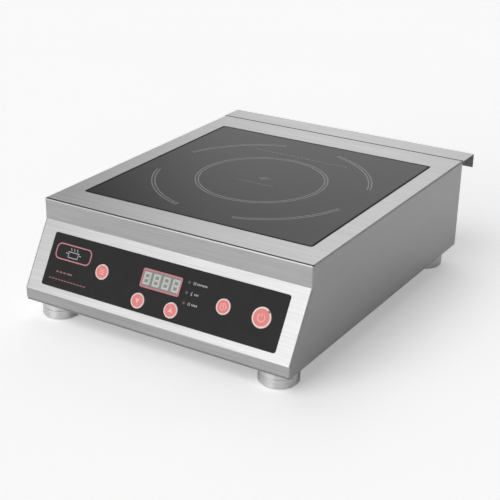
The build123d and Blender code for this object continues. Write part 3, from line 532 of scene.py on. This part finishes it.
# ---------------------------------------------------------------- print on the glass
ZONE_Y = -2.0               # cooking zone, millimetres from the glass's middle
RING_R = 72.5
RING_GAP = 3.5              # between the two lines of each mark
ARC_R = 121.1
ARC_CORNERS = (45, 135, 225, 315)
ARC_HALF = 28.5             # degrees either side of each corner
LINE = 1.4
CENTRE_ROW = (14, -24.0, 3.6, -16.6, 2.5, 1.0)  # dashes: number, first x, pitch, y, width, height
REAR_ROW = (26, -60.0, 4.8, 85.6, 3.2, 1.2)
MARK_AT = (1.5, 1.3)        # small round mark near the middle
MARK_RADII = (3.9, 1.7)
MARK_LINE = 0.8
MARK_ARM = 3.0
MARK_ARM_AT = 6.6
EDGE_TRIM = 1.7             # black edge of the glass
EDGE_CORNER = 2.4
GAP_SHADOW_WIDTH = 2.1             # painted shadow of the gap behind the top sheet, laid on as a dark strip
GAP_SHADOW_END = 0.5              # by which it stops short at each end


def glass_print(ink, black):
    """Zone ring and four corner arcs, each of two fine lines, and the small marks between them."""
    low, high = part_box("ceramic_glass")
    place = Matrix.Translation(((low.x + high.x) / 2, (low.y + high.y) / 2, high.z))
    zone = Drawing()
    for side in (-1, 1):
        offset = RING_GAP / 2 * side
        zone.arc(0, ZONE_Y, RING_R + offset, LINE)
        for corner in ARC_CORNERS:
            zone.arc(0, ZONE_Y, ARC_R + offset, LINE, corner - ARC_HALF, corner + ARC_HALF)
    zone.piece("glass_zone_print", place, ink, "housing")
    marks = Drawing()
    marks.row(*CENTRE_ROW)
    marks.row(*REAR_ROW)
    x, y = MARK_AT
    for radius in MARK_RADII:
        marks.arc(x, y, radius, MARK_LINE)
    for side in (-1, 1):
        marks.bar(x + side * MARK_ARM_AT, y, MARK_ARM, MARK_LINE)
    marks.piece("glass_small_print", place, ink, "housing")
    width, depth = (high.x - low.x) / MM, (high.y - low.y) / MM
    trim = Drawing()
    trim.rounded(0, 0, width - EDGE_TRIM, depth - EDGE_TRIM, EDGE_CORNER, EDGE_TRIM)
    trim.piece("glass_edge_trim", place, black, "housing")


def gap_shadow_strip(black):
    """Painted shadow: a dark strip laid on the top sheet where it meets the rear spacer, standing in for the shade
    in the gap between them.
    """
    low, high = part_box("rear_spacer")
    width = (high.x - low.x) / MM
    shadow_strip = Drawing()
    shadow_strip.bar(0, 0, width - 2 * GAP_SHADOW_END, GAP_SHADOW_WIDTH)
    shadow_strip.piece("gap_shadow_strip", Matrix.Translation((0, low.y, high.z)), black, "housing")


# ---------------------------------------------------------------- print on the control panel
# Millimetres from the front plate's middle: first across, then up the panel.
BADGE_AT = (-115.0, 10.5)
BADGE_SIZE = (46.0, 16.5)
BADGE_CORNER = 5.5
BADGE_LINE = 1.3
POT_LINE = 0.9
POT_RIM = 6.5               # half the pot's width at its rim
POT_FOOT = 6.0              # and at its foot
POT_TOP = 0.6               # height of the rim over the badge's middle
POT_BOTTOM = -4.8
LID_UP = 1.2
LID_W = 15.0
HANDLE_AT = (8.8, -0.8)
HANDLE_W = 2.6
STEAM_PITCH = 4.0
STEAM_SWAY = 0.7
STEAM_UP = 2.7
STEAM_POINTS = 7
STEAM_STEP = 0.5            # rise from point to point
STEAM_TURN = 1.05           # and turn of the sway, in radians
STEAM_LINE = 0.7
SHORT_DASHES = (3, -129.2, 4.9, -11.8, 3.4, 1.7)    # number, first x, pitch, y, width, height
LAST_DASH = (-112.8, -11.8, 6.8, 1.7)
LONG_DASHES = (12, -136.5, 4.2, -20.0, 3.0, 1.1)
LABEL_X = 37.4              # left end of the labels beside the lamps
WAVE_PITCH = 1.1            # heating: three waves
WAVE_SWAY = 0.35
WAVE_POINTS = 8
WAVE_STEP = 0.5             # from point to point
WAVE_TURN = 1.6             # and turn of the wave, in radians
WAVE_LINE = 0.45
TUBE_X = 1.2                # temperature: a thermometer
TUBE_HALF = 0.45
TUBE_REACH = (-0.4, 1.6)
TUBE_LINE = 0.4
BULB_DOWN = 1.0
BULB_R = 0.65
BULB_LINE = 0.5
CLOCK_X = 1.5               # time: a clock
CLOCK_R = 1.35
CLOCK_LINE = 0.45
CLOCK_HANDS = ((0.0, 0.9), (0.0, 0.0), (0.7, -0.3))
HAND_LINE = 0.4
SCALE_X = 5.2               # the row of small bars after each sign
SCALE_PITCH = 1.8
SCALE_BAR = (1.1, 1.9)
SCALE_COUNTS = (7, 3, 4)
LAMP_RIM = 1.9 * MM         # radius of a lamp


def panel_badge(place, pink, white):
    """Rounded frame with a generic steaming pot in it."""
    x, y = BADGE_AT
    badge = Drawing()
    badge.rounded(x, y, *BADGE_SIZE, BADGE_CORNER, BADGE_LINE)
    badge.piece("panel_badge", place, pink, "housing")
    pot = Drawing()
    outline = ((-POT_RIM, POT_TOP), (-POT_FOOT, POT_BOTTOM), (POT_FOOT, POT_BOTTOM), (POT_RIM, POT_TOP))
    pot.stroke([(x + px, y + py) for px, py in outline], POT_LINE)
    pot.bar(x, y + LID_UP, LID_W, POT_LINE)
    for side in (-1, 1):
        pot.bar(x + side * HANDLE_AT[0], y + HANDLE_AT[1], HANDLE_W, POT_LINE)
    for k in (-1, 0, 1):
        middle = x + k * STEAM_PITCH
        steam = [(middle + STEAM_SWAY * math.sin(t * STEAM_TURN), y + STEAM_UP + t * STEAM_STEP)
                 for t in range(STEAM_POINTS)]
        pot.stroke(steam, STEAM_LINE)
    pot.piece("panel_badge_pot", place, white, "housing")


def panel_dashes(place, dim):
    """Two lines of dashes under the badge."""
    dashes = Drawing()
    dashes.row(*SHORT_DASHES)
    dashes.bar(*LAST_DASH)
    dashes.row(*LONG_DASHES)
    dashes.piece("panel_dashes", place, dim, "housing")


def lamp_rows(up0):
    """Heights of the three lamps over the panel's middle, top one first, in millimetres."""
    low, high = span("indicator_lights", PANEL_UP)
    reach = (high - low) / 2 - LAMP_RIM
    middle_up = (low + high) / 2 - up0
    return [(middle_up + k * reach) / MM for k in (1, 0, -1)]


def lamp_labels(place, up0, white):
    """A sign beside each lamp, for heating, temperature and time, each with a row of small bars."""
    labels = Drawing()
    rows = lamp_rows(up0)
    heat, temperature, time = rows
    for k in (-1, 0, 1):
        level = heat + k * WAVE_PITCH
        wave = [(LABEL_X + t * WAVE_STEP, level + WAVE_SWAY * math.sin(t * WAVE_TURN))
                for t in range(WAVE_POINTS)]
        labels.stroke(wave, WAVE_LINE)
    tube_x = LABEL_X + TUBE_X
    labels.arc(tube_x, temperature - BULB_DOWN, BULB_R, BULB_LINE)
    bottom, top = (temperature + reach for reach in TUBE_REACH)
    labels.stroke([(tube_x - TUBE_HALF, bottom), (tube_x - TUBE_HALF, top), (tube_x + TUBE_HALF, top),
                   (tube_x + TUBE_HALF, bottom)], TUBE_LINE)
    labels.arc(LABEL_X + CLOCK_X, time, CLOCK_R, CLOCK_LINE)
    labels.stroke([(LABEL_X + CLOCK_X + px, time + py) for px, py in CLOCK_HANDS], HAND_LINE)
    for row, count in zip(rows, SCALE_COUNTS):
        labels.row(count, LABEL_X + SCALE_X, SCALE_PITCH, row, *SCALE_BAR)
    labels.piece("panel_lamp_labels", place, white, "housing")


def panel_print(pink, dim, white):
    """Everything printed on the front plate of the control panel."""
    up0 = centre_along("control_overlay", PANEL_UP)
    face = span("control_overlay", PANEL_NORMAL)[1]
    place = panel_place(centre_along("control_overlay", ACROSS), up0, face)
    panel_badge(place, pink, white)
    panel_dashes(place, dim)
    lamp_labels(place, up0, white)


# ---------------------------------------------------------------- keys
# Each icon's measures are shares of its key's radius r.
MENU_PITCH = 0.26           # distance between the list's bars
MENU_BAR_X = 0.12
MENU_BAR = (0.56, 0.10)     # length and thickness
MENU_DOT_X = -0.32
MENU_DOT = 0.11
ARROW = ((0.0, 0.40), (0.17, 0.03), (0.34, -0.34), (0.0, -0.187), (-0.34, -0.34), (-0.17, 0.03))
TIMER_RADIUS = 0.38
TIMER_LINE = 0.085
TIMER_HANDS = ((0.0, 0.26), (0.0, 0.0), (0.18, -0.12))
TIMER_HAND_LINE = 0.08
POWER_UP = -0.03            # height of the ring's middle
POWER_RADIUS = 0.36
POWER_TURN = (125, 415)     # degrees from the right, anticlockwise
POWER_BAR_UP = 0.26
POWER_BAR = 0.36
POWER_LINE = 0.09


def menu_icon(art, r):
    """Three list bars, each with its dot."""
    length, thickness = MENU_BAR
    for k in (-1, 0, 1):
        art.bar(MENU_BAR_X * r, k * MENU_PITCH * r, length * r, thickness * r)
        art.bar(MENU_DOT_X * r, k * MENU_PITCH * r, MENU_DOT * r, MENU_DOT * r)


def arrow_icon(art, r, way):
    """Notched arrow head, up or down."""
    art.fill([(px * r, py * r * way) for px, py in ARROW])


def timer_icon(art, r):
    """Clock face with two hands."""
    art.arc(0, 0, TIMER_RADIUS * r, TIMER_LINE * r)
    art.stroke([(px * r, py * r) for px, py in TIMER_HANDS], TIMER_HAND_LINE * r)


def power_icon(art, r):
    """Open ring with a bar in its gap."""
    art.arc(0, POWER_UP * r, POWER_RADIUS * r, POWER_LINE * r, *POWER_TURN)
    art.bar(0, POWER_BAR_UP * r, POWER_LINE * r, POWER_BAR * r)


KEY_ICONS = {
    "menu_key": menu_icon,
    "down_key": lambda art, r: arrow_icon(art, r, -1),
    "up_key": lambda art, r: arrow_icon(art, r, 1),
    "timer_key": timer_icon,
    "power_key": power_icon,
}
RIM_MARK_AT = 0.91          # dark mark on the power key's rim, as shares of its radius
RIM_MARK_W = 0.12
RIM_MARK_TURN = (39, 54)    # degrees from the right, anticlockwise


def key_place(name):
    """Matrix that lays a drawing on a key's face, about its middle."""
    top = span(name, PANEL_NORMAL)[1]
    return panel_place(centre_along(name, ACROSS), centre_along(name, PANEL_UP), top)


def key_prints(ink, dark):
    """Icon on each key, and the small dark mark on the power key's rim."""
    for name, draw in KEY_ICONS.items():
        art = Drawing()
        draw(art, key_radius(name) / MM)
        art.piece(name + "_icon", key_place(name), ink, name)
    radius = key_radius("power_key") / MM
    mark = Drawing()
    mark.arc(0, 0, radius * RIM_MARK_AT, radius * RIM_MARK_W, *RIM_MARK_TURN)
    mark.piece("power_key_mark", key_place("power_key"), dark, "power_key")


# ---------------------------------------------------------------- display digits
DIGITS = 4
DIGIT_W = 8.7
DIGIT_H = 13.2
DIGIT_LINE = 2.2
DIGIT_PITCH = 11.9
DIGIT_SHIFT = 0.1           # of the whole row to the right
DIGIT_T = 0.1 * MM
SEGMENT_GAP = 0.12
WINDOW_T = 0.4 * MM
WINDOW_W = 45.2
WINDOW_H = 16.7
WINDOW_CORNER = 1.1


def digit(art, x):
    """Seven bars, mitred where they meet, that make a square figure eight."""
    a, h, line, gap = DIGIT_W / 2, DIGIT_H / 2, DIGIT_LINE, SEGMENT_GAP
    for way in (-1, 1):
        edge = [(-a + gap, h), (a - gap, h), (a - line - gap, h - line), (-a + line + gap, h - line)]
        art.fill([(x + px, way * py) for px, py in edge])
        for side in (-1, 1):
            post = [(a, h - gap), (a, gap), (a - line / 2, gap), (a - line, line / 2 + gap),
                    (a - line, h - line - gap)]
            art.fill([(x + side * px, way * py) for px, py in post])
    w = a - line / 2
    art.fill([(x - w + gap, 0), (x - w + line / 2, line / 2), (x + w - line / 2, line / 2), (x + w - gap, 0),
              (x + w - line / 2, -line / 2), (x - w + line / 2, -line / 2)])


def display_digits(window, pale):
    """Grey window inside the frame, level with the front plate, and the four unlit digits on it."""
    x0, up0 = centre_along("display_bezel", ACROSS), centre_along("display_bezel", PANEL_UP)
    face = span("control_overlay", PANEL_NORMAL)[1]
    film = Drawing()
    film.rounded(0, 0, WINDOW_W, WINDOW_H, WINDOW_CORNER)
    film.piece("display_window", panel_place(x0, up0, face - WINDOW_T), window, "housing",
               WINDOW_T)
    art = Drawing()
    for k in range(DIGITS):
        digit(art, (k - (DIGITS - 1) / 2) * DIGIT_PITCH + DIGIT_SHIFT)
    art.piece("display_digits", panel_place(x0, up0, face), pale, "housing", DIGIT_T)


# ---------------------------------------------------------------- stage
FLOOR_HALF = 60.0           # metres from the middle to the floor's edge


def add_floor():
    """Wide flat floor at the height of the soles."""
    mesh = bpy.data.meshes.new("floor")
    corners = [(x * FLOOR_HALF, y * FLOOR_HALF, 0) for x, y in ((-1, -1), (1, -1), (1, 1), (-1, 1))]
    mesh.from_pydata(corners, [], [(0, 1, 2, 3)])
    floor = bpy.data.objects.new("floor", mesh)
    mesh.materials.append(floor_surface())
    bpy.context.scene.collection.objects.link(floor)


def direction(azimuth, elevation):
    """Unit vector: azimuth in degrees from the front (-Y) towards +X, elevation above the floor."""
    turn, lift = math.radians(azimuth), math.radians(elevation)
    return Vector((math.sin(turn) * math.cos(lift), -math.cos(turn) * math.cos(lift), math.sin(lift)))


# Soft lamps of the studio: azimuth and elevation, full and faded-out radius in degrees, radiance.
LAMPS = {
    "front_left": (-45, 28, 3, 28, 0.92),
    "front_high": (-20, 58, 5, 28, 2.5),
    "front_right": (48, 16, 8, 38, 0.65),
    "front_low": (-20, 7, 8, 32, 2.1),
    "front_low_right": (-4, 7, 8, 28, 1.1),
    "left": (-95, 14, 6, 30, 0.4),
    "back_high": (-150, 48, 6, 26, 1.7),
    "back": (-160, 16, 6, 20, 0.66),
    "back_left": (-132, 18, 5, 20, 0.2),
    "back_low": (-150, 4, 3, 12, 1.1),
    "back_right": (155, 27, 4, 18, 0.9),
    "left_top": (-110, 60, 4, 22, 0.6),
}
AMBIENT = 0.03              # of the surround between the lamps
BACKDROP = 0.96             # what the camera itself sees beyond the floor


def lamp_glow(tree, seen, azimuth, elevation, full, faded, radiance):
    """Radiance of one round lamp in the direction that is seen."""
    facing = tree.nodes.new("ShaderNodeVectorMath")
    facing.operation = "DOT_PRODUCT"
    facing.inputs[1].default_value = direction(azimuth, elevation)
    tree.links.new(seen, facing.inputs[0])
    fade = tree.nodes.new("ShaderNodeMapRange")
    fade.interpolation_type = "SMOOTHSTEP"
    limits = (math.cos(math.radians(faded)), math.cos(math.radians(full)), 0.0, radiance)
    for socket, value in zip(fade.inputs[1:], limits):
        socket.default_value = value
    tree.links.new(facing.outputs["Value"], fade.inputs[0])
    return fade.outputs[0]


def add_studio():
    """Dim surround with soft round lamps, each fading out to its rim, and a plain pale backdrop."""
    world = bpy.data.worlds.new("studio")
    world.use_nodes = True
    tree = world.node_tree
    seen = tree.nodes.new("ShaderNodeTexCoord").outputs["Generated"]
    total = None
    for lamp in LAMPS.values():
        add = tree.nodes.new("ShaderNodeMath")
        add.inputs[0].default_value = AMBIENT
        if total:
            tree.links.new(total, add.inputs[0])
        tree.links.new(lamp_glow(tree, seen, *lamp), add.inputs[1])
        total = add.outputs[0]
    choice = tree.nodes.new("ShaderNodeMix")
    factor, unseen, direct = (choice.inputs[k] for k in (0, 2, 3))     # its factor, A and B for numbers
    tree.links.new(tree.nodes.new("ShaderNodeLightPath").outputs["Is Camera Ray"], factor)
    tree.links.new(total, unseen)
    direct.default_value = BACKDROP
    background = tree.nodes["Background"]
    background.inputs["Color"].default_value = grey(1.0)
    tree.links.new(choice.outputs[0], background.inputs["Strength"])
    bpy.context.scene.world = world
    bpy.context.scene.view_settings.view_transform = "Standard"


# ---------------------------------------------------------------- inks and order of work
INK_GRAIN = 2200.0          # texture cells per metre
INK_DEPTH = 0.03 * MM


def print_ink(name, low, high, rough=HALF_GLOSS):
    """Screen-printed ink, slightly uneven."""
    return moulded(name, low, high, rough, INK_GRAIN, INK_DEPTH)


def add_prints():
    """Everything printed on the glass, the panel, the keys and the display, and the painted shadow of the gap
    behind the top sheet.
    """
    # Black for the glass's edge seal and for the painted shadow of the gap behind the top sheet.
    black = moulded("black_seal_and_gap_shadow", grey(0.006), grey(0.010), DULL, Specular_IOR_Level=0.1)
    glass_print(print_ink("print_on_glass", grey(0.175), grey(0.215), (0.25, 0.4)), black)
    # Painted shadow of the gap between the top sheet and the rear spacer.
    gap_shadow_strip(black)
    pink = print_ink("print_pink", rgb(0.52, 0.19, 0.21), rgb(0.60, 0.24, 0.26))
    dim = print_ink("print_dim_pink", rgb(0.26, 0.09, 0.10), rgb(0.32, 0.12, 0.13))
    white = print_ink("print_white", grey(0.36), grey(0.44))
    panel_print(pink, dim, white)
    icon = print_ink("key_icon_ink", rgb(0.80, 0.50, 0.47), rgb(0.86, 0.57, 0.54))
    mark = print_ink("key_mark_ink", grey(0.03), grey(0.05))
    key_prints(icon, mark)
    film = print_ink("display_film", rgb(0.21, 0.215, 0.205), rgb(0.26, 0.265, 0.25), (0.35, 0.45))
    pale = print_ink("digit_pale", rgb(0.50, 0.52, 0.48), rgb(0.56, 0.58, 0.54))
    display_digits(film, pale)


add_camera()
add_floor()
add_studio()
dress_nodes(make_materials())
add_prints()
